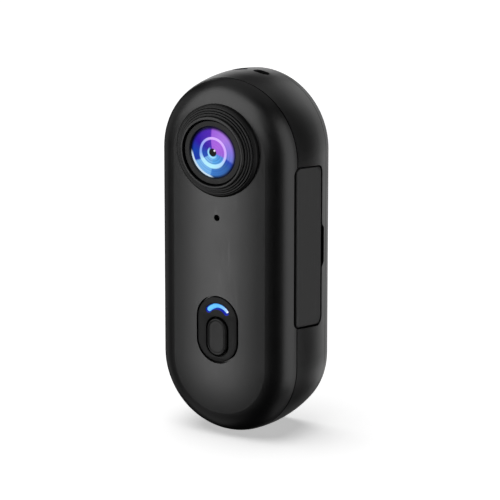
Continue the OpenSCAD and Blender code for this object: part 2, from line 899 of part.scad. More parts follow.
module usb_tongue() color(chip_black)
    slab([port_x - usb_len + usb_back, usb_y - tongue_t / 2, usb_z - tongue_w / 2],
         [port_x - tongue_inset, usb_y + tongue_t / 2, usb_z + tongue_w / 2]);

module card_socket() color(nickel) difference() {
    slab([card_x0 - card_push - socket_back, board_y1, card_z - card_w / 2 - socket_wall],
         [port_x - socket_inset, card_y0 + card_t + card_fit + socket_roof,
          card_z + card_w / 2 + socket_wall]);
    slab([card_x0 - card_push - card_stop, card_y0 - card_fit, card_z - card_w / 2 - card_fit],
         [port_x + over, card_y0 + card_t + card_fit, card_z + card_w / 2 + card_fit]);
}

// Card with its stepped side, printed side to the back
module memory_card() color(chip_black)
    translate([0, card_y0 + card_t, card_z]) rotate([90, 0, 0]) linear_extrude(height = card_t)
        polygon([
            [card_x0, -card_w / 2],
            [card_x1, -card_w / 2],
            [card_x1, card_w / 2],
            [card_x0 + card_step_x, card_w / 2],
            [card_x0 + card_step_x - card_step, card_w / 2 - card_step],
            [card_x0, card_w / 2 - card_step]
        ]);

// ---- Battery ---------------------------------------------------------------

module battery() color(battery_silver)
    translate([0, 0, battery_z0]) linear_extrude(height = battery_z1 - battery_z0)
        round_rect([-battery_x, battery_y0], [battery_x, battery_y1], battery_r);

module protection_board() color(board_green)
    slab([-protection_x, battery_y0 + protection_inset, battery_z1],
         [protection_x, battery_y1 - protection_inset, battery_z1 + protection_h]);

module battery_leads() color(lead_red)
    for (x = lead_xs) rod_y(lead_r, board_y1, battery_y0 + protection_inset, [x, lead_z]);

module battery_pad() color(foam_grey)
    plate_y(battery_y1, cover_floor_y) round_rect(pad_lo, pad_hi, pad_r);

// ---- Port door -------------------------------------------------------------

// Bore along the hinge axis
module hinge_bore(r) {
    translate([hinge_x, hinge_y, hinge_z - hinge_h / 2]) cylinder(r = r, h = hinge_h);
}

module port_door() color(door_black) difference() {
    intersection() {
        plate_x(hinge_x - over, half_w + over) door_outline();
        linear_extrude(height = body_h, center = true) {
            translate([door_in_x, hinge_y]) square([hinge_x + knuckle_r - door_in_x, body_d]);
            translate([hinge_x, hinge_y]) circle(r = knuckle_r);
            translate([hinge_x, hinge_y - knuckle_r]) square([knuckle_r - toe_r, knuckle_r]);
            translate([hinge_x, hinge_y - knuckle_r + toe_r]) square([knuckle_r, knuckle_r]);
            translate([hinge_x + knuckle_r - toe_r, hinge_y - knuckle_r + toe_r]) circle(r = toe_r);
        }
    }
    hinge_bore(pin_r + pin_clear);
}

module door_seal() color(seal_grey)
    plate_x(recess_x + seal_gap, door_in_x) difference() {
        raked([seal_y0, door_z0 + seal_inset], [seal_y1, door_z1 - seal_inset], seal_r, seal_r);
        raked([seal_y0 + seal_w, door_z0 + seal_inset + seal_rise],
              [seal_y1 - seal_w, door_z1 - seal_inset - seal_rise], seal_r - seal_w, seal_r - seal_w);
    }

module door_hinge_pin() color(steel)
    translate([hinge_x, hinge_y, hinge_z - hinge_h / 2 + fit]) cylinder(r = pin_r, h = hinge_h - 2 * fit);

front_shell();
rear_shell();
back_cover();
cover_tape();
housing_gasket();
threaded_inserts();
shell_screws();
lens_bezel();
lens_ring();
front_lens();
lens_barrel();
lens_element_mid();
aperture_stop();
lens_element_rear();
lens_o_ring();
lens_holder();
ir_filter();
image_sensor();
sensor_board();
holder_screws();
flex_connector();
sensor_flex();
button_plate();
record_button();
led_window();
led_chip();
tact_switch();
switch_plunger();
microphone();
mic_gasket();
control_board();
board_link();
main_board();
board_screws();
processor();
shield_can();
memory_chip();
power_inductor();
wifi_antenna();
usb_socket();
usb_tongue();
card_socket();
memory_card();
battery();
protection_board();
battery_leads();
battery_pad();
back_magnets();
port_door();
door_seal();
door_hinge_pin();
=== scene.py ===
"""Looks of a pill-shaped wearable action camera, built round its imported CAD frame."""

import json
import math

import bmesh
import bpy
from mathutils import Matrix, Vector


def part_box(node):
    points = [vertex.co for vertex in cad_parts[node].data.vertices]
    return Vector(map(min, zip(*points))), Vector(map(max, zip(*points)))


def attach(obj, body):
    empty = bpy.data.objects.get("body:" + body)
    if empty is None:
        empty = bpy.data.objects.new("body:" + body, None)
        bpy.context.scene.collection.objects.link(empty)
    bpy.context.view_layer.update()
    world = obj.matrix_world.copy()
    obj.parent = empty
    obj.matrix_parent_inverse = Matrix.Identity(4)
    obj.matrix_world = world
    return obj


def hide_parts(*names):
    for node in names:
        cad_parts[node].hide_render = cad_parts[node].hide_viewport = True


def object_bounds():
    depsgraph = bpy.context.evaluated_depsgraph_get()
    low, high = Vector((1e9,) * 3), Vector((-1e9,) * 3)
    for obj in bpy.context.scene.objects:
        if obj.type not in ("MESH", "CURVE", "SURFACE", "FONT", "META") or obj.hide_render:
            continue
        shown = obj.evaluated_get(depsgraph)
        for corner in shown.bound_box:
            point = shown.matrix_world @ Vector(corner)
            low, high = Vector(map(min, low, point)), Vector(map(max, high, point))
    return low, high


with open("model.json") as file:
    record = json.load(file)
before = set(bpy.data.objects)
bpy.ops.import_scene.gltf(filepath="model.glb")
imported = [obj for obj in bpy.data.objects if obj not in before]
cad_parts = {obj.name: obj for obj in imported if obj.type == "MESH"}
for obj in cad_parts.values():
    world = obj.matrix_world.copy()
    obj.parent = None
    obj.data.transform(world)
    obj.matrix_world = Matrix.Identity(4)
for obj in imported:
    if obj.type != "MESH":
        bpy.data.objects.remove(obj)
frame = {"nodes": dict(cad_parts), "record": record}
cad_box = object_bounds()

MM = 0.001
MICRON = 1e-6
nodes = frame["nodes"]


# ---- Places, from the frame ------------------------------------------------


def middle(node):
    """Centre of a CAD node's box."""
    low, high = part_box(node)
    return (low + high) / 2


def extent(node):
    """Size of a CAD node's box."""
    low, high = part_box(node)
    return high - low


LENS = middle("lens_bezel")
BEZEL_R = extent("lens_bezel").x / 2
LIP_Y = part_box("lens_bezel")[0].y
FRONT_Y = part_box("front_shell")[0].y
SEAM_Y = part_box("rear_shell")[0].y
COVER_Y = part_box("back_cover")[0].y
RING_R = extent("lens_ring").x / 2
RING_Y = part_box("lens_ring")[0].y
GLASS_R = 5.15 * MM
PLATE = middle("button_plate")
PLATE_W = extent("button_plate").x
PLATE_H = extent("button_plate").z
BUTTON = middle("record_button")
FLOOR_Z = Vector(cad_box[0]).z


# ---- Camera ----------------------------------------------------------------

CAMERA_AZIMUTH = 31.18
CAMERA_ELEVATION = 16.10
CAMERA_DISTANCE = 711.3 * MM
CAMERA_TARGET = Vector((0, -9.5 * MM, 0))
CAMERA_LENS = 258.2
SENSOR = 36
CAMERA_SHIFT = (0.0162, 0.0022)


def direction(azimuth, elevation):
    """Unit vector out from the object: azimuth 0 is the front, 90 the right side."""
    a, e = math.radians(azimuth), math.radians(elevation)
    return Vector((math.sin(a) * math.cos(e), -math.cos(a) * math.cos(e), math.sin(e)))


def facing(place, target):
    """Matrix of a camera or lamp at a place, looking at a target with Z up."""
    back = (place - target).normalized()
    right = Vector((0, 0, 1)).cross(back).normalized()
    up = back.cross(right)
    turn = Matrix((right, up, back)).transposed().to_4x4()
    return Matrix.Translation(place) @ turn


def add_camera():
    data = bpy.data.cameras.new("camera")
    data.lens = CAMERA_LENS
    data.sensor_width = SENSOR
    data.shift_x, data.shift_y = CAMERA_SHIFT
    data.clip_start = 0.01
    data.clip_end = 50
    camera = bpy.data.objects.new("camera", data)
    place = CAMERA_TARGET + CAMERA_DISTANCE * direction(CAMERA_AZIMUTH, CAMERA_ELEVATION)
    camera.matrix_world = facing(place, CAMERA_TARGET)
    bpy.context.scene.collection.objects.link(camera)
    bpy.context.scene.camera = camera


# ---- Studio ----------------------------------------------------------------

# Softboxes: azimuth, elevation, distance (m), width (m), height (m), watts
SOFTBOXES = {
    "key": (-29, 34, 0.9, 1.4, 1.05, 11.0),
    "key_low": (-31, -13, 0.9, 0.27, 0.45, 1.85),
    "side": (90, 1, 0.9, 0.8, 1.45, 6.0),
    "side_low": (122, -30, 0.9, 0.3, 0.5, 0.45),
    "rear": (176, 2, 0.9, 0.55, 1.1, 2.2),
    "left": (-100, -5, 0.9, 0.5, 1.0, 0.35),
    "low_right": (115, -62, 0.9, 0.7, 0.4, 0.25),
    "low_left": (-70, -52, 0.9, 0.6, 0.5, 0.25),
    "top": (-150, 72, 0.9, 1.2, 1.1, 1.3),
    "back_left": (-148, 6, 0.9, 0.42, 0.44, 0.75),
    "back_low": (-168, -36, 0.9, 0.4, 0.35, 0.06),
}
FLOOR_SIZE = 6.0
FLOOR_GLOW = 0.48
# Wide overhead sun for the floor alone, so that the object casts a soft pool of shadow round its
# foot: azimuth, elevation, spread (degrees) and strength
FLOOR_SUN = (-75, 81, 66, 2.35)


def add_lamp(data, place, floor, state):
    """Place a lamp that lights the floor alone (INCLUDE) or everything but the floor (EXCLUDE)."""
    lamp = bpy.data.objects.new(data.name, data)
    lamp.matrix_world = facing(place, Vector((0, 0, 0)))
    bpy.context.scene.collection.objects.link(lamp)
    lit = bpy.data.collections.new(data.name + "_lit")
    lit.objects.link(floor)
    lit.collection_objects[0].light_linking.link_state = state
    lamp.light_linking.receiver_collection = lit


def add_floor_sun(floor, azimuth, elevation, spread, strength):
    data = bpy.data.lights.new("floor_sun", "SUN")
    data.angle = math.radians(spread)
    data.energy = strength
    add_lamp(data, direction(azimuth, elevation), floor, "INCLUDE")


def add_softbox(name, floor, azimuth, elevation, distance, width, height, watts):
    data = bpy.data.lights.new(name, "AREA")
    data.shape = "RECTANGLE"
    data.size, data.size_y = width, height
    data.energy = watts
    add_lamp(data, distance * direction(azimuth, elevation), floor, "EXCLUDE")


def add_world():
    """White behind everything, seen by the camera alone. It lights nothing."""
    world = bpy.data.worlds.new("studio")
    bpy.context.scene.world = world
    world.use_nodes = True
    tree = world.node_tree
    tree.nodes.clear()
    out = tree.nodes.new("ShaderNodeOutputWorld")
    white = tree.nodes.new("ShaderNodeBackground")
    path = tree.nodes.new("ShaderNodeLightPath")
    white.inputs["Color"].default_value = (1, 1, 1, 1)
    tree.links.new(path.outputs["Is Camera Ray"], white.inputs["Strength"])
    tree.links.new(white.outputs[0], out.inputs["Surface"])


def add_floor():
    mesh = bpy.data.meshes.new("floor")
    half = FLOOR_SIZE / 2
    corners = [(-half, -half, 0), (half, -half, 0), (half, half, 0), (-half, half, 0)]
    mesh.from_pydata(corners, [], [(0, 1, 2, 3)])
    floor = bpy.data.objects.new("floor", mesh)
    floor.location.z = FLOOR_Z
    bpy.context.scene.collection.objects.link(floor)
    material = bpy.data.materials.new("floor")
    material.use_nodes = True
    shader = material.node_tree.nodes["Principled BSDF"]
    shader.inputs["Base Color"].default_value = (0.9, 0.9, 0.9, 1)
    shader.inputs["Roughness"].default_value = 0.9
    shader.inputs["Specular IOR Level"].default_value = 0.1
    shader.inputs["Emission Color"].default_value = (1, 1, 1, 1)
    shader.inputs["Emission Strength"].default_value = FLOOR_GLOW
    mesh.materials.append(material)
    floor.visible_glossy = False
    floor.visible_diffuse = False
    floor.visible_shadow = False
    return floor


# ---- Materials -------------------------------------------------------------


class Nodes:
    """Short calls for building a material's node tree, new or already begun."""

    def __init__(self, material):
        self.material = material
        self.material.use_nodes = True
        self.tree = self.material.node_tree
        self.shader = self.tree.nodes["Principled BSDF"]
        coords = self.tree.nodes.get("Texture Coordinate") or self.tree.nodes.new("ShaderNodeTexCoord")
        self.place = coords.outputs["Object"]

    def link(self, value, socket):
        if isinstance(value, bpy.types.NodeSocket):
            self.tree.links.new(value, socket)
        else:
            socket.default_value = value

    def math(self, operation, *values):
        node = self.tree.nodes.new("ShaderNodeMath")
        node.operation = operation
        for value, socket in zip(values, node.inputs):
            self.link(value, socket)
        return node.outputs[0]

    def length(self, *sides):
        """Length of a line in the plane from its two sides."""
        squares = [self.math("MULTIPLY", side, side) for side in sides]
        return self.math("SQRT", self.math("ADD", *squares))

    def away(self, value, middle):
        """How far a value is from a middle one, on either side."""
        return self.math("ABSOLUTE", self.math("SUBTRACT", value, middle))

    def split(self, vector):
        """The X, Y and Z of a vector."""
        node = self.tree.nodes.new("ShaderNodeSeparateXYZ")
        self.link(vector, node.inputs[0])
        return node.outputs

    def vector_math(self, operation, *values):
        node = self.tree.nodes.new("ShaderNodeVectorMath")
        node.operation = operation
        for value, socket in zip(values, node.inputs):
            self.link(value, socket)
        return node.outputs[0]

    def noise(self, size, detail=2.0, stretch=(1, 1, 1)):
        """Noise whose features are about this size in metres, stretched along the axes."""
        scaled = self.vector_math("MULTIPLY", self.place, tuple(1 / s for s in stretch))
        node = self.tree.nodes.new("ShaderNodeTexNoise")
        node.inputs["Scale"].default_value = 1 / size
        node.inputs["Detail"].default_value = detail
        self.link(scaled, node.inputs["Vector"])
        return node.outputs["Fac"]

    def span(self, value, low, high, to_low=0.0, to_high=1.0, smooth=False):
        """Map low..high to to_low..to_high, held at the ends."""
        node = self.tree.nodes.new("ShaderNodeMapRange")
        node.interpolation_type = "SMOOTHSTEP" if smooth else "LINEAR"
        for socket, v in zip(node.inputs, (value, low, high, to_low, to_high)):
            self.link(v, socket)
        return node.outputs[0]

    def mix(self, factor, low, high):
        node = self.tree.nodes.new("ShaderNodeMix")
        node.data_type = "RGBA"
        self.link(factor, node.inputs[0])
        self.link(low, node.inputs[6])
        self.link(high, node.inputs[7])
        return node.outputs[2]

    def bump(self, height, depth):
        node = self.tree.nodes.new("ShaderNodeBump")
        node.inputs["Distance"].default_value = depth
        self.link(height, node.inputs["Height"])
        self.tree.links.new(node.outputs[0], self.shader.inputs["Normal"])

    def set(self, **values):
        names = {
            "colour": "Base Color", "rough": "Roughness", "metal": "Metallic",
            "specular": "Specular IOR Level", "coat": "Coat Weight",
            "coat_rough": "Coat Roughness", "glow": "Emission Color",
            "glow_strength": "Emission Strength",
        }
        for key, value in values.items():
            self.link(value, self.shader.inputs[names[key]])


def tone(colour, factor=1.0):
    """Opaque colour, brightened by a factor."""
    return tuple(min(1.0, c * factor) for c in colour) + (1,)


# Specular left in a line of painted shade, and the depths over which the painted shade of a seam or
# groove, or the crest, fades
DARK_SPECULAR = 0.04
SEAM_BAND = (0.1 * MM, 0.17 * MM)
GROOVE_FADE = 0.08 * MM
CREST_FADE = 0.1 * MM


def lined_specular(n, specular, seams, crest, groove):
    """Specular with painted shade along the seams and in a ring about the lens axis, and another value
    before the crest.
    """
    x, y, z = n.split(n.place)
    if crest:
        depth, before = crest
        specular = n.span(y, depth, depth + CREST_FADE, before, specular)
    # Ring of painted shade about the lens axis: the specular falls almost to nothing there
    if groove:
        inner, outer = groove
        radius = n.length(n.math("SUBTRACT", x, LENS.x), n.math("SUBTRACT", z, LENS.z))
        off = n.away(radius, (inner + outer) / 2)
        half = (outer - inner) / 2
        dark = n.span(off, half, half + GROOVE_FADE, DARK_SPECULAR, 1.0, smooth=True)
        specular = n.math("MULTIPLY", dark, specular)
    # Painted shade along each seam: the specular falls almost to nothing there
    for depth in seams:
        dark = n.span(n.away(y, depth), *SEAM_BAND, DARK_SPECULAR, 1.0, smooth=True)
        specular = n.math("MULTIPLY", dark, specular)
    return specular


# Size of the soft patches of tone, and of the rubbed streaks, how upright and how glossy they are
PATCH = 6 * MM
STREAK = 0.5 * MM
STREAK_STRETCH = (1, 1, 14)
WORN = 0.06


def finish_material(name, colour, rough, grain=0.15, relief=4, spread=0.12, metal=0.0, specular=0.5,
                    coat=0.0, brushed=(1, 1, 1), seams=(), crest=None, groove=None):
    """A finish with fine grain in its relief and gloss, soft patches of tone, and faint rubbed streaks.

    grain is a feature size in mm and relief a height in micrometres. spread is how far the patches
    differ in tone. brushed is the grain's stretch along each axis. seams are the depths of parting
    lines, where painted shade makes the finish dark and dull. crest is a depth and the specular before
    it. groove is a ring of painted shade about the lens axis: its inner and outer radius.
    """
    n = Nodes(bpy.data.materials.new(name))
    fine = n.noise(grain * MM, 3.0, brushed)
    patches = n.noise(PATCH)
    streaks = n.noise(STREAK, stretch=STREAK_STRETCH)
    rubbed = n.span(streaks, 0.6, 0.75, 0.0, WORN)
    tones = n.mix(patches, tone(colour, 1 - spread), tone(colour, 1 + spread))
    n.set(colour=n.mix(rubbed, tones, tone([c * 1.6 + 0.01 for c in colour])))
    gloss = n.math("ADD", n.math("MULTIPLY", fine, 0.6), n.math("MULTIPLY", patches, 0.4))
    n.set(rough=n.math("SUBTRACT", n.span(gloss, 0.3, 0.7, *rough), rubbed))
    if seams or crest or groove:
        specular = lined_specular(n, specular, seams, crest, groove)
    n.set(metal=metal, specular=specular, coat=coat)
    n.bump(fine, relief * MICRON)
    return n.material


# The shell carries painted shade along its seams, and the bezel a ring of painted shade about the lens
# axis
FINISHES = {
    "shell": dict(colour=(0.0010, 0.0010, 0.0011), rough=(0.33, 0.39), seams=(SEAM_Y, COVER_Y)),
    "cover": dict(colour=(0.0012, 0.0012, 0.0013), rough=(0.35, 0.42)),
    "bezel": dict(colour=(0.0012, 0.0012, 0.0013), rough=(0.42, 0.5), specular=0.26,
                  crest=(LIP_Y + 0.35 * MM, 0.46), groove=(6.4 * MM, 6.62 * MM)),
    "ring": dict(colour=(0.006, 0.006, 0.006), rough=(0.5, 0.58), specular=0.3),
    "plate": dict(colour=(0.0015, 0.0015, 0.0016), rough=(0.4, 0.48), specular=0.17),
    "button": dict(colour=(0.0015, 0.0015, 0.0016), rough=(0.34, 0.42), specular=0.22),
    "door": dict(colour=(0.012, 0.012, 0.0122), rough=(0.5, 0.56)),
    "lens_glass": dict(colour=(0.1, 0.1, 0.3), rough=(0.05, 0.1), coat=1.0, relief=0.2),
    "filter_glass": dict(colour=(0.3, 0.05, 0.12), rough=(0.05, 0.1), coat=1.0, relief=0.2),
    "light_window": dict(colour=(0.2, 0.55, 0.9), rough=(0.25, 0.35), relief=1),
    "anodised": dict(colour=(0.012, 0.012, 0.014), rough=(0.42, 0.52), metal=0.6, brushed=(1, 8, 1)),
    "inner_plastic": dict(colour=(0.01, 0.01, 0.011), rough=(0.5, 0.62), relief=6),
    "rubber": dict(colour=(0.014, 0.014, 0.016), rough=(0.7, 0.82), relief=8, grain=0.1),
    "foam": dict(colour=(0.03, 0.03, 0.033), rough=(0.85, 0.95), relief=30, grain=0.2),
    "brass": dict(colour=(0.72, 0.5, 0.2), rough=(0.25, 0.36), metal=1.0, brushed=(1, 6, 1)),
    "steel": dict(colour=(0.55, 0.56, 0.58), rough=(0.22, 0.34), metal=1.0, brushed=(1, 6, 1)),
    "nickel": dict(colour=(0.6, 0.59, 0.56), rough=(0.2, 0.32), metal=1.0, brushed=(6, 1, 1)),
    "circuit_board": dict(colour=(0.01, 0.09, 0.05), rough=(0.32, 0.42), coat=0.4, spread=0.25),
    "chip": dict(colour=(0.02, 0.02, 0.022), rough=(0.5, 0.62), relief=6),
    "connector": dict(colour=(0.62, 0.56, 0.42), rough=(0.42, 0.52)),
    "flex": dict(colour=(0.5, 0.22, 0.04), rough=(0.3, 0.42), coat=0.3),
    "sensor": dict(colour=(0.12, 0.08, 0.16), rough=(0.15, 0.25), metal=0.5, relief=1),
    "battery_foil": dict(colour=(0.5, 0.52, 0.55), rough=(0.3, 0.45), metal=0.8, relief=12, grain=0.6),
    "wire": dict(colour=(0.4, 0.02, 0.02), rough=(0.4, 0.5)),
}
materials = {name: finish_material(name, **look) for name, look in FINISHES.items()}
slot_of = {part["node"]: part["material_slot"] for part in frame["record"]["subparts"]}

# Two metal parts that show through openings are blackened, unlike the others in their slots
materials["black_oxide"] = finish_material("black_oxide", colour=(0.008, 0.008, 0.009),
                                           rough=(0.4, 0.5), metal=1.0, brushed=(1, 1, 6))
BLACKENED = ("door_hinge_pin", "microphone")

for name, node in nodes.items():
    finish = materials["black_oxide" if name in BLACKENED else slot_of[name]]
    node.data.materials.clear()
    node.data.materials.append(finish)


# ---- Painted finishes, with painted light and shade --------------------------


def screen(code):
    """Linear colour of a screen colour written as RRGGBB."""
    values = [int(code[i:i + 2], 16) / 255 for i in (0, 2, 4)]
    linear = [v / 12.92 if v <= 0.04045 else ((v + 0.055) / 1.055) ** 2.4 for v in values]
    return tuple(linear) + (1,)


def ramp(n, factor, stops):
    """Colours along 0..1, each stop a place and a screen colour."""
    node = n.tree.nodes.new("ShaderNodeValToRGB")
    points = node.color_ramp.elements
    for place, colour in stops:
        point = points[0] if place == stops[0][0] else points.new(place)
        point.position = place
        point.color = screen(colour)
    # A new ramp has an end point of its own
    points.remove(points[-1])
    n.link(factor, node.inputs[0])
    return node.outputs[0]


def turns(degrees):
    """An angle as a part of a whole turn, from 0 to 1."""
    return degrees % 360 / 360


# Colours of the coating's painted reflections round the axis, by angle in degrees from +X towards +Z
INNER_REFLECTIONS = [
    (0, "a060d8"), (40, "a862dc"), (92, "a05cda"), (96, "5020b0"), (140, "3018a0"), (180, "1848b0"),
    (204, "2a50b8"), (209, "78b4ea"), (258, "70b0ea"), (262, "58a8e8"), (310, "4c98e0"),
    (334, "5888e0"), (340, "9a68da"), (359.9, "a060d8"),
]
OUTER_REFLECTIONS = [
    (0, "8478dc"), (45, "a878e0"), (92, "9a5ad8"), (96, "5020b0"), (150, "3018a0"), (180, "1840a8"),
    (204, "2038a8"), (209, "78b4ea"), (258, "70aee8"), (262, "3878c8"), (315, "3060a8"),
    (334, "3048b8"), (340, "7080d8"), (359.9, "8478dc"),
]
# Painted reflection of the pale ring, by the same angles
PALE_RING = [
    (0, "d8b0ff"), (95, "dcb4ff"), (130, "a8b0f8"), (180, "88b0f4"), (209, "b8ecff"), (262, "b8f4ff"),
    (320, "b8d8ff"), (345, "d4b8ff"), (359.9, "d8b0ff"),
]


# Painted reflections and painted shade on the glass, as parts of its radius: the middle of each ring,
# and where each edge starts and ends
REFLECTIONS_MEET = (0.5, 0.6)
PALE_RING_R = 0.545
PALE_RING_EDGE = (0.03, 0.065)
SMALL_RING_R = 0.2
SMALL_RING_EDGE = (0.02, 0.05)
PUPIL_EDGE = (0.14, 0.17)
SHINE_PLACE = (0.075, 0.08)
SHINE_EDGE = (0.015, 0.06)
RIM_EDGE = (0.84, 0.98)
SLIVER_CENTRE = (0.045, 0.03)
SLIVER_EDGE = (0.95, 0.975)
SLIVER_ENDS = (-0.95, -1.15)
# Radians of the fine rings' wave along the radius, and degrees that the sectors turn along it
FINE_RINGS = 62.0
SPIRAL = 11


def lens_painted_reflections(name, centre, radius):
    """Front lens painted with reflections of its coating, coloured sectors and pale rings, round a
    pupil of painted shade, all glowing though the lens is no lamp.
    """
    n = Nodes(bpy.data.materials.new(name))
    across, _, up = n.split(n.vector_math("SUBTRACT", n.place, tuple(centre)))
    x = n.math("DIVIDE", across, radius)
    z = n.math("DIVIDE", up, radius)
    r = n.length(x, z)
    diagonal = n.math("ADD", x, z)

    # Painted reflections in sectors, whose boundaries turn a little on their way out
    spiral = n.math("MULTIPLY", n.math("SUBTRACT", r, 1.0), turns(SPIRAL))
    angle = n.math("FRACT", n.math("ADD", n.math("DIVIDE", n.math("ARCTAN2", z, x), 2 * math.pi),
                                   n.math("ADD", spiral, 1.0)))
    stops = [[(turns(a), c) for a, c in table] for table in (INNER_REFLECTIONS, OUTER_REFLECTIONS, PALE_RING)]
    inner, outer, pale = [ramp(n, angle, table) for table in stops]
    colour = n.mix(n.span(r, *REFLECTIONS_MEET, smooth=True), inner, outer)

    # Painted reflections of fine rings, strongest near the middle and on the lower side
    lower = n.span(z, -0.25, 0.1, 1.0, 0.25, smooth=True)
    waves = n.math("SINE", n.math("MULTIPLY", r, FINE_RINGS))
    depth = n.math("MULTIPLY", lower, n.span(r, 0.5, 0.85, 0.3, 0.12))
    colour = n.mix(n.math("MULTIPLY", n.span(waves, -0.2, 1.0), depth), colour, screen("102878"))

    # Pale ring of painted reflection, widest at the lower left
    lean = n.math("ADD", z, n.math("MULTIPLY", x, 0.35))
    swell = n.span(lean, -0.1, -0.55, 1.0, 1.8, smooth=True)
    off = n.math("DIVIDE", n.away(r, PALE_RING_R), swell)
    colour = n.mix(n.span(off, *PALE_RING_EDGE, 0.9, 0.0, smooth=True), colour, pale)

    # Small ring of painted reflection close to the pupil, on its lower left side
    side = n.span(diagonal, 0.1, -0.15, 0.0, 0.9)
    near = n.span(n.away(r, SMALL_RING_R), *SMALL_RING_EDGE, 1.0, 0.0, smooth=True)
    colour = n.mix(n.math("MULTIPLY", near, side), colour, screen("a0e0ff"))

    # Pupil of painted shade and its painted highlight
    colour = n.mix(n.span(r, *PUPIL_EDGE, 1.0, 0.0, smooth=True), colour, screen("050508"))
    shine = n.length(*[n.math("SUBTRACT", v, at) for v, at in zip((x, z), SHINE_PLACE)])
    colour = n.mix(n.span(shine, *SHINE_EDGE, 1.0, 0.0, smooth=True), colour, screen("f4f0ff"))

    # Dark rim of painted shade, and a bright sliver of painted reflection along the lower left
    rim = n.math("ADD", r, n.math("MULTIPLY", diagonal, 0.03))
    colour = n.mix(n.span(rim, *RIM_EDGE, 0.0, 0.97, smooth=True), colour, screen("050620"))
    sliver = n.length(*[n.math("SUBTRACT", v, at) for v, at in zip((x, z), SLIVER_CENTRE)])
    sliver = n.math("MULTIPLY", n.span(sliver, *SLIVER_EDGE, smooth=True),
                    n.span(diagonal, *SLIVER_ENDS, smooth=True))
    colour = n.mix(sliver, colour, screen("c8e0f4"))

    haze = n.noise(1.4 * MM)
    # The painted colours also glow, though the lens is no lamp
    n.set(colour=n.mix(0.62, colour, screen("000000")), glow=colour, glow_strength=GLASS_GLOW)
    n.set(rough=n.span(haze, 0.3, 0.7, 0.18, 0.24), specular=0.025, coat=0.02, coat_rough=0.04)
    n.bump(n.noise(0.5 * MM), 0.05 * MICRON)
    return n.material


def lit_window(name, centre):
    """Glowing window, whitest and slightly pink at its right tip."""
    n = Nodes(bpy.data.materials.new(name))
    across = n.split(n.vector_math("SUBTRACT", n.place, tuple(centre)))[0]
    cloud = n.noise(0.5 * MM)
    along = n.math("ADD", n.span(across, -2.6 * MM, 2.4 * MM),
                   n.span(cloud, 0.3, 0.7, -0.05, 0.05))
    colour = ramp(n, along, [(0.0, "64c8ff"), (0.55, "5abcff"), (0.86, "8cc8ff"), (1.0, "f0d8ff")])
    n.set(colour=n.mix(0.9, colour, screen("000000")), glow=colour, glow_strength=0.95)
    n.set(rough=n.span(cloud, 0.3, 0.7, 0.25, 0.35), specular=0.2)
    n.bump(cloud, MICRON)
    return n.material


# Place of the painted glow of spilled light against the window, and how far from its edge it starts and
# ends
SPILL_SHIFT = Vector((0.04 * MM, 0, -0.05 * MM))
SPILL_EDGE = (0.06 * MM, 0.22 * MM)


def plate_with_spilled_light(name, look, centre, radius, width, sweep):
    """The plate's finish, with the window's blue light painted as a glow on the edge of its opening."""
    n = Nodes(finish_material(name, **look))
    x, _, z = n.split(n.vector_math("SUBTRACT", n.place, tuple(centre + SPILL_SHIFT)))
    half = math.radians(sweep / 2)
    turn = n.math("MAXIMUM", n.math("MINIMUM", n.math("ARCTAN2", x, z), half), -half)
    arc_x, arc_z = [n.math("MULTIPLY", n.math(wave, turn), radius) for wave in ("SINE", "COSINE")]
    off = n.length(n.math("SUBTRACT", x, arc_x), n.math("SUBTRACT", z, arc_z))
    start, end = SPILL_EDGE
    spill = n.span(off, width / 2 + start, width / 2 + end, 1.0, 0.0, smooth=True)
    # Painted spill of the window's light, glowing though the plate is no lamp
    n.set(glow=screen("0810a0"), glow_strength=spill)
    return n.material


# ---- Shapes ------------------------------------------------------------------


# Points closer than this are one, and faces that meet at less than this angle look smooth
WELD = 0.002 * MM
SMOOTH_ANGLE = 35


def keep(name, mesh, material):
    """Turn a mesh into a linked, smooth object with a material."""
    work = bmesh.new()
    work.from_mesh(mesh)
    bmesh.ops.remove_doubles(work, verts=work.verts, dist=WELD)
    bmesh.ops.recalc_face_normals(work, faces=work.faces)
    work.to_mesh(mesh)
    work.free()
    mesh.shade_smooth()
    mesh.set_sharp_from_angle(angle=math.radians(SMOOTH_ANGLE))
    mesh.materials.clear()
    mesh.materials.append(material)
    piece = bpy.data.objects.new(name, mesh)
    bpy.context.scene.collection.objects.link(piece)
    return piece


def rounded(corners, steps=6):
    """Closed outline from corners (u, v, radius), each corner eased by an arc of that radius."""
    outline = []
    for i, (u, v, radius) in enumerate(corners):
        here = Vector((u, v))
        before = Vector(corners[i - 1][:2]) - here
        after = Vector(corners[(i + 1) % len(corners)][:2]) - here
        half = before.angle(after) / 2
        if radius == 0 or half > math.radians(89):
            outline.append((u, v))
            continue
        reach = min(radius / math.tan(half), 0.49 * before.length, 0.49 * after.length)
        start, end = here + before.normalized() * reach, here + after.normalized() * reach
        for step in range(steps + 1):
            t = step / steps
            point = start * (1 - t) ** 2 + here * 2 * t * (1 - t) + end * t ** 2
            outline.append((point.x, point.y))
    return outline


def lathe(name, outline, material, segments=256):
    """Turn a closed outline of (radius, y) round the lens axis."""
    count = len(outline)
    points, faces = [], []
    for i in range(segments):
        a = 2 * math.pi * i / segments
        points += [(LENS.x + r * math.cos(a), y, LENS.z + r * math.sin(a)) for r, y in outline]
    for i in range(segments):
        j = (i + 1) % segments
        for k in range(count):
            m = (k + 1) % count
            faces.append((i * count + k, i * count + m, j * count + m, j * count + k))
    mesh = bpy.data.meshes.new(name)
    mesh.from_pydata(points, [], faces)
    work = bmesh.new()
    work.from_mesh(mesh)
    bmesh.ops.remove_doubles(work, verts=work.verts, dist=WELD)
    bmesh.ops.dissolve_degenerate(work, edges=work.edges, dist=WELD / 2)
    work.to_mesh(mesh)
    work.free()
    return keep(name, mesh, material)


def pill_outline(width, height, steps=40):
    """Outline of an upright pill about the origin, in X and Z."""
    radius, rise = width / 2, (height - width) / 2
    arc = [math.pi * i / steps for i in range(steps + 1)]
    upper = [(radius * math.cos(a), rise + radius * math.sin(a)) for a in arc]
    return upper + [(-x, -z) for x, z in upper]


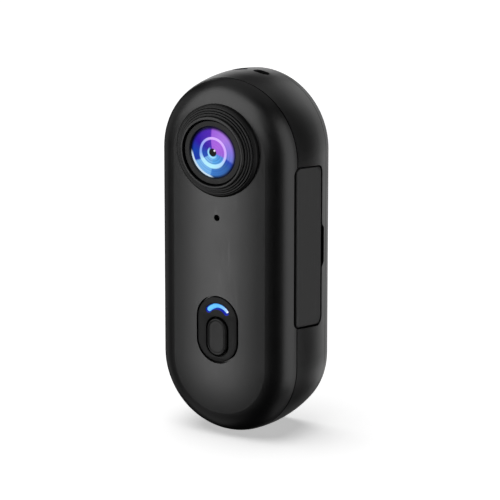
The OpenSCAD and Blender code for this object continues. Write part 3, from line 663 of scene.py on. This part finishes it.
def crescent_outline(radius, left_w, right_w, sweep, steps=40, cap_steps=12):
    """Outline of a round-ended arc about the origin, opening downwards, tapered from left to right."""
    half = math.radians(sweep) / 2

    def edge(i, side):
        a = math.pi / 2 + half - 2 * half * i / steps
        r = radius + side * (left_w + (right_w - left_w) * i / steps) / 2
        return r * math.cos(a), r * math.sin(a)

    def cap(a, width, start):
        x, z = radius * math.cos(a), radius * math.sin(a)
        angles = [start - math.pi * i / cap_steps for i in range(1, cap_steps)]
        return [(x + width / 2 * math.cos(t), z + width / 2 * math.sin(t)) for t in angles]

    left, right = math.pi / 2 + half, math.pi / 2 - half
    outer = [edge(i, 1) for i in range(steps + 1)]
    inner = [edge(i, -1) for i in range(steps, -1, -1)]
    return outer + cap(right, right_w, right) + inner + cap(left, left_w, left + math.pi)


def plate(name, outlines, y0, y1, ease, material):
    """Plate in X and Z from y0 to y1, the later outlines its holes, every edge rounded by ease."""
    curve = bpy.data.curves.new(name, "CURVE")
    curve.dimensions = "2D"
    curve.fill_mode = "BOTH"
    for outline in outlines:
        spline = curve.splines.new("POLY")
        spline.points.add(len(outline) - 1)
        for point, (x, z) in zip(spline.points, outline):
            point.co = (x, z, 0, 1)
        spline.use_cyclic_u = True
    curve.extrude = (y1 - y0) / 2 - ease
    curve.bevel_depth = ease
    curve.bevel_resolution = 3
    curve.offset = -ease
    drawn = bpy.data.objects.new(name, curve)
    bpy.context.scene.collection.objects.link(drawn)
    solid = drawn.evaluated_get(bpy.context.evaluated_depsgraph_get())
    mesh = bpy.data.meshes.new_from_object(solid)
    bpy.data.objects.remove(drawn)
    bpy.data.curves.remove(curve)
    turn = Matrix.Translation((0, (y0 + y1) / 2, 0)) @ Matrix.Rotation(math.radians(90), 4, "X")
    mesh.transform(turn)
    return keep(name, mesh, material)


def loft(name, rings, material):
    """Close a stack of equal outlines of (x, y, z) points into one solid."""
    count = len(rings[0])
    points = [point for ring in rings for point in ring]
    faces = [tuple(range(count)), tuple(range(len(points) - 1, len(points) - count - 1, -1))]
    for k in range(len(rings) - 1):
        for i in range(count):
            j = (i + 1) % count
            faces.append((k * count + i, k * count + j, (k + 1) * count + j, (k + 1) * count + i))
    mesh = bpy.data.meshes.new(name)
    mesh.from_pydata(points, [], faces)
    return keep(name, mesh, material)


# ---- Lens --------------------------------------------------------------------

# Glow of the lens's painted reflections, though the lens is no lamp
GLASS_GLOW = 0.72
LIP_R = 7.2 * MM
THROAT_R = 6.45 * MM
SEAT_R = 6.95 * MM
SEAT_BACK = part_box("lens_bezel")[1].y
BEZEL_SEAT = FRONT_Y + 1 * MM
GROOVE = 0.09 * MM
# Steps of the cone: radius of the riser and height of the tread before it, in mm
STEPS = [(8.55, 0.5), (8.1, 0.85), (7.7, 1.15)]


def bezel_outline():
    """Section of the stepped cone, with a fine groove at the foot of each riser and a rolled lip."""
    ease = 0.13 * MM
    section = [(THROAT_R, SEAT_BACK, 0), (SEAT_R, SEAT_BACK, 0), (SEAT_R, BEZEL_SEAT, 0),
               (BEZEL_R, BEZEL_SEAT, 0), (BEZEL_R, FRONT_Y - 0.05 * MM, 0.2 * MM)]
    radius, height = BEZEL_R - 0.42 * MM, 0.5 * MM
    for next_radius, next_height in STEPS + [(LIP_R / MM, 1.45)]:
        foot = FRONT_Y - next_height * MM
        riser = next_radius * MM
        section += [(radius, foot, ease), (riser + GROOVE, foot, 0.03 * MM),
                    (riser + GROOVE / 2, foot + GROOVE, 0.03 * MM), (riser, foot, 0.03 * MM)]
        radius = riser - 0.01 * MM
    section += [(LIP_R - 0.02 * MM, LIP_Y, 0.36 * MM), (THROAT_R, LIP_Y, 0.3 * MM)]
    return rounded(section)


bezel = lathe("bezel_turned", bezel_outline(), materials["bezel"])

ring_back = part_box("lens_ring")[1].y
barrel_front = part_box("lens_barrel")[0].y
barrel_r = extent("lens_barrel").x / 2
ring_outline = rounded([
    (GLASS_R, RING_Y + 0.42 * MM, 0), (GLASS_R + 0.14 * MM, RING_Y, 0.08 * MM),
    (RING_R - 0.04 * MM, RING_Y, 0.12 * MM), (RING_R - 0.04 * MM, ring_back, 0),
    (barrel_r + 0.02 * MM, ring_back, 0), (barrel_r + 0.02 * MM, barrel_front, 0),
    (GLASS_R, barrel_front, 0),
])
lens_ring = lathe("ring_turned", ring_outline, materials["ring"])

GLASS_CURVE = 34 * MM
GLASS_CHAMFER = 0.9 * MM
glass_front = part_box("front_lens")[0].y + 0.12 * MM
glass_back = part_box("front_lens")[1].y
glass_edge = GLASS_R - 0.01 * MM
DOME_STEPS = 24
dome = []
for step in range(DOME_STEPS + 1):
    r = glass_edge * step / DOME_STEPS
    dome.append((r, glass_front + GLASS_CURVE - math.sqrt(GLASS_CURVE ** 2 - r ** 2)))
glass_outline = dome + [
    (glass_edge, glass_back - GLASS_CHAMFER), (glass_edge - GLASS_CHAMFER, glass_back),
    (0, glass_back),
]
# Front glass with painted reflections and painted shade in its finish
painted_glass_reflections = lens_painted_reflections("lens_painted_reflections", LENS, GLASS_R)
front_glass = lathe("glass_painted_reflections", glass_outline, painted_glass_reflections)

for piece, node in ((bezel, "lens_bezel"), (lens_ring, "lens_ring"), (front_glass, "front_lens")):
    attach(piece, "root")
    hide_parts(node)


# ---- Button, plate and light -------------------------------------------------

LIGHT_R = 2.65 * MM
LIGHT_W = 0.95 * MM
OPENING_W = LIGHT_W + 0.04 * MM
LIGHT_SWEEP = 100
LIGHT_CENTRE = Vector((0, 0, PLATE.z + PLATE_H / 2 - PLATE_W / 2))
BUTTON_W = 4.4 * MM
BUTTON_H = 7.6 * MM
BUTTON_Z = BUTTON.z - 0.1 * MM
BUTTON_GAP = 0.28 * MM
PLATE_EASE = 0.16 * MM
PLATE_TRIM = 0.08 * MM
# Widths of the window at its left and right ends
WINDOW_W = (0.88 * MM, 0.5 * MM)
plate_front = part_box("button_plate")[0].y
plate_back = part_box("button_plate")[1].y


def moved(outline, x, z):
    return [(u + x, v + z) for u, v in outline]


# The plate's finish carries a painted glow of the window's light round its opening
plate_paint = plate_with_spilled_light("plate_lit", FINISHES["plate"], LIGHT_CENTRE, LIGHT_R, LIGHT_W,
                           LIGHT_SWEEP)
plate_outlines = [
    moved(pill_outline(PLATE_W - 2 * PLATE_TRIM, PLATE_H - 2 * PLATE_TRIM), 0, PLATE.z),
    moved(pill_outline(BUTTON_W + 2 * BUTTON_GAP, BUTTON_H + 2 * BUTTON_GAP), 0, BUTTON_Z),
    moved(crescent_outline(LIGHT_R, OPENING_W, OPENING_W, LIGHT_SWEEP), 0, LIGHT_CENTRE.z),
]
plate_piece = plate("plate_eased", plate_outlines, plate_front, plate_back, PLATE_EASE, plate_paint)

window_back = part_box("led_window")[1].y
WINDOW_SINK = 0.28 * MM
window_outline = moved(crescent_outline(LIGHT_R, *WINDOW_W, LIGHT_SWEEP), 0, LIGHT_CENTRE.z)
window_piece = plate("light_pipe", [window_outline], plate_front + WINDOW_SINK, window_back,
                     0.08 * MM, lit_window("window_lit", LIGHT_CENTRE))

button_front, button_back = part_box("record_button")[0].y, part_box("record_button")[1].y
FLANGE_FRONT = FRONT_Y + 1.65 * MM
FLANGE_T = 0.6 * MM
FLANGE_RIM = 0.9 * MM
STEM_R = 1 * MM
BUTTON_EASE = 0.3 * MM
EASE_STEPS = 6
# The dished face and the fine line round it: distance in from the outline, and depth, in mm
FACE_PROFILE = [
    (1.9, 0.1), (1.1, 0.09), (0.62, 0.06), (0.56, 0.075), (0.52, 0.085), (0.48, 0.07), (0.42, 0.03),
]


def button_rings():
    """Outlines from the face to the stem: dished face, fine inner line, eased edge, flange and stem."""
    face = button_front
    rings = [(-inset * MM, face + depth * MM) for inset, depth in FACE_PROFILE]
    for i in range(EASE_STEPS + 1):
        a = math.radians(90 * i / EASE_STEPS)
        rings.append(((math.sin(a) - 1) * BUTTON_EASE, face + (1 - math.cos(a)) * BUTTON_EASE))
    rings += [(0, FLANGE_FRONT), (FLANGE_RIM, FLANGE_FRONT), (FLANGE_RIM, FLANGE_FRONT + FLANGE_T)]
    outlines = []
    for grow, y in rings:
        ring = pill_outline(BUTTON_W + 2 * grow, BUTTON_H + 2 * grow)
        outlines.append([(x, y, z + BUTTON_Z) for x, z in ring])
    for y in (FLANGE_FRONT + FLANGE_T, button_back):
        ring = pill_outline(2 * STEM_R, 2 * STEM_R)
        outlines.append([(x, y, z + BUTTON_Z) for x, z in ring])
    return outlines


button_piece = loft("button_dished", button_rings(), materials["button"])

for piece, node, body in (
    (plate_piece, "button_plate", "root"),
    (window_piece, "led_window", "root"),
    (button_piece, "record_button", "button"),
):
    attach(piece, body)
    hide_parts(node)


# ---- Eased edges of the case -------------------------------------------------


def ease_edges(node, width, angle):
    """Round the edges of a CAD node whose faces meet at more than an angle in degrees."""
    weld = node.modifiers.new("weld", "WELD")
    weld.merge_threshold = 0.001 * MM
    bevel = node.modifiers.new("ease", "BEVEL")
    bevel.width = width
    bevel.segments = 3
    bevel.limit_method = "ANGLE"
    bevel.angle_limit = math.radians(angle)
    bevel.use_clamp_overlap = False
    bevel.harden_normals = True
    bevel.miter_outer = "MITER_ARC"


DOOR_EASE = 0.18 * MM
DOOR_EDGE_ANGLE = 40
ease_edges(nodes["port_door"], DOOR_EASE, DOOR_EDGE_ANGLE)


# ---- Set the scene ---------------------------------------------------------

add_camera()
add_world()
floor = add_floor()
for name, values in SOFTBOXES.items():
    add_softbox(name, floor, *values)
add_floor_sun(floor, *FLOOR_SUN)
bpy.context.scene.view_settings.view_transform = "Standard"
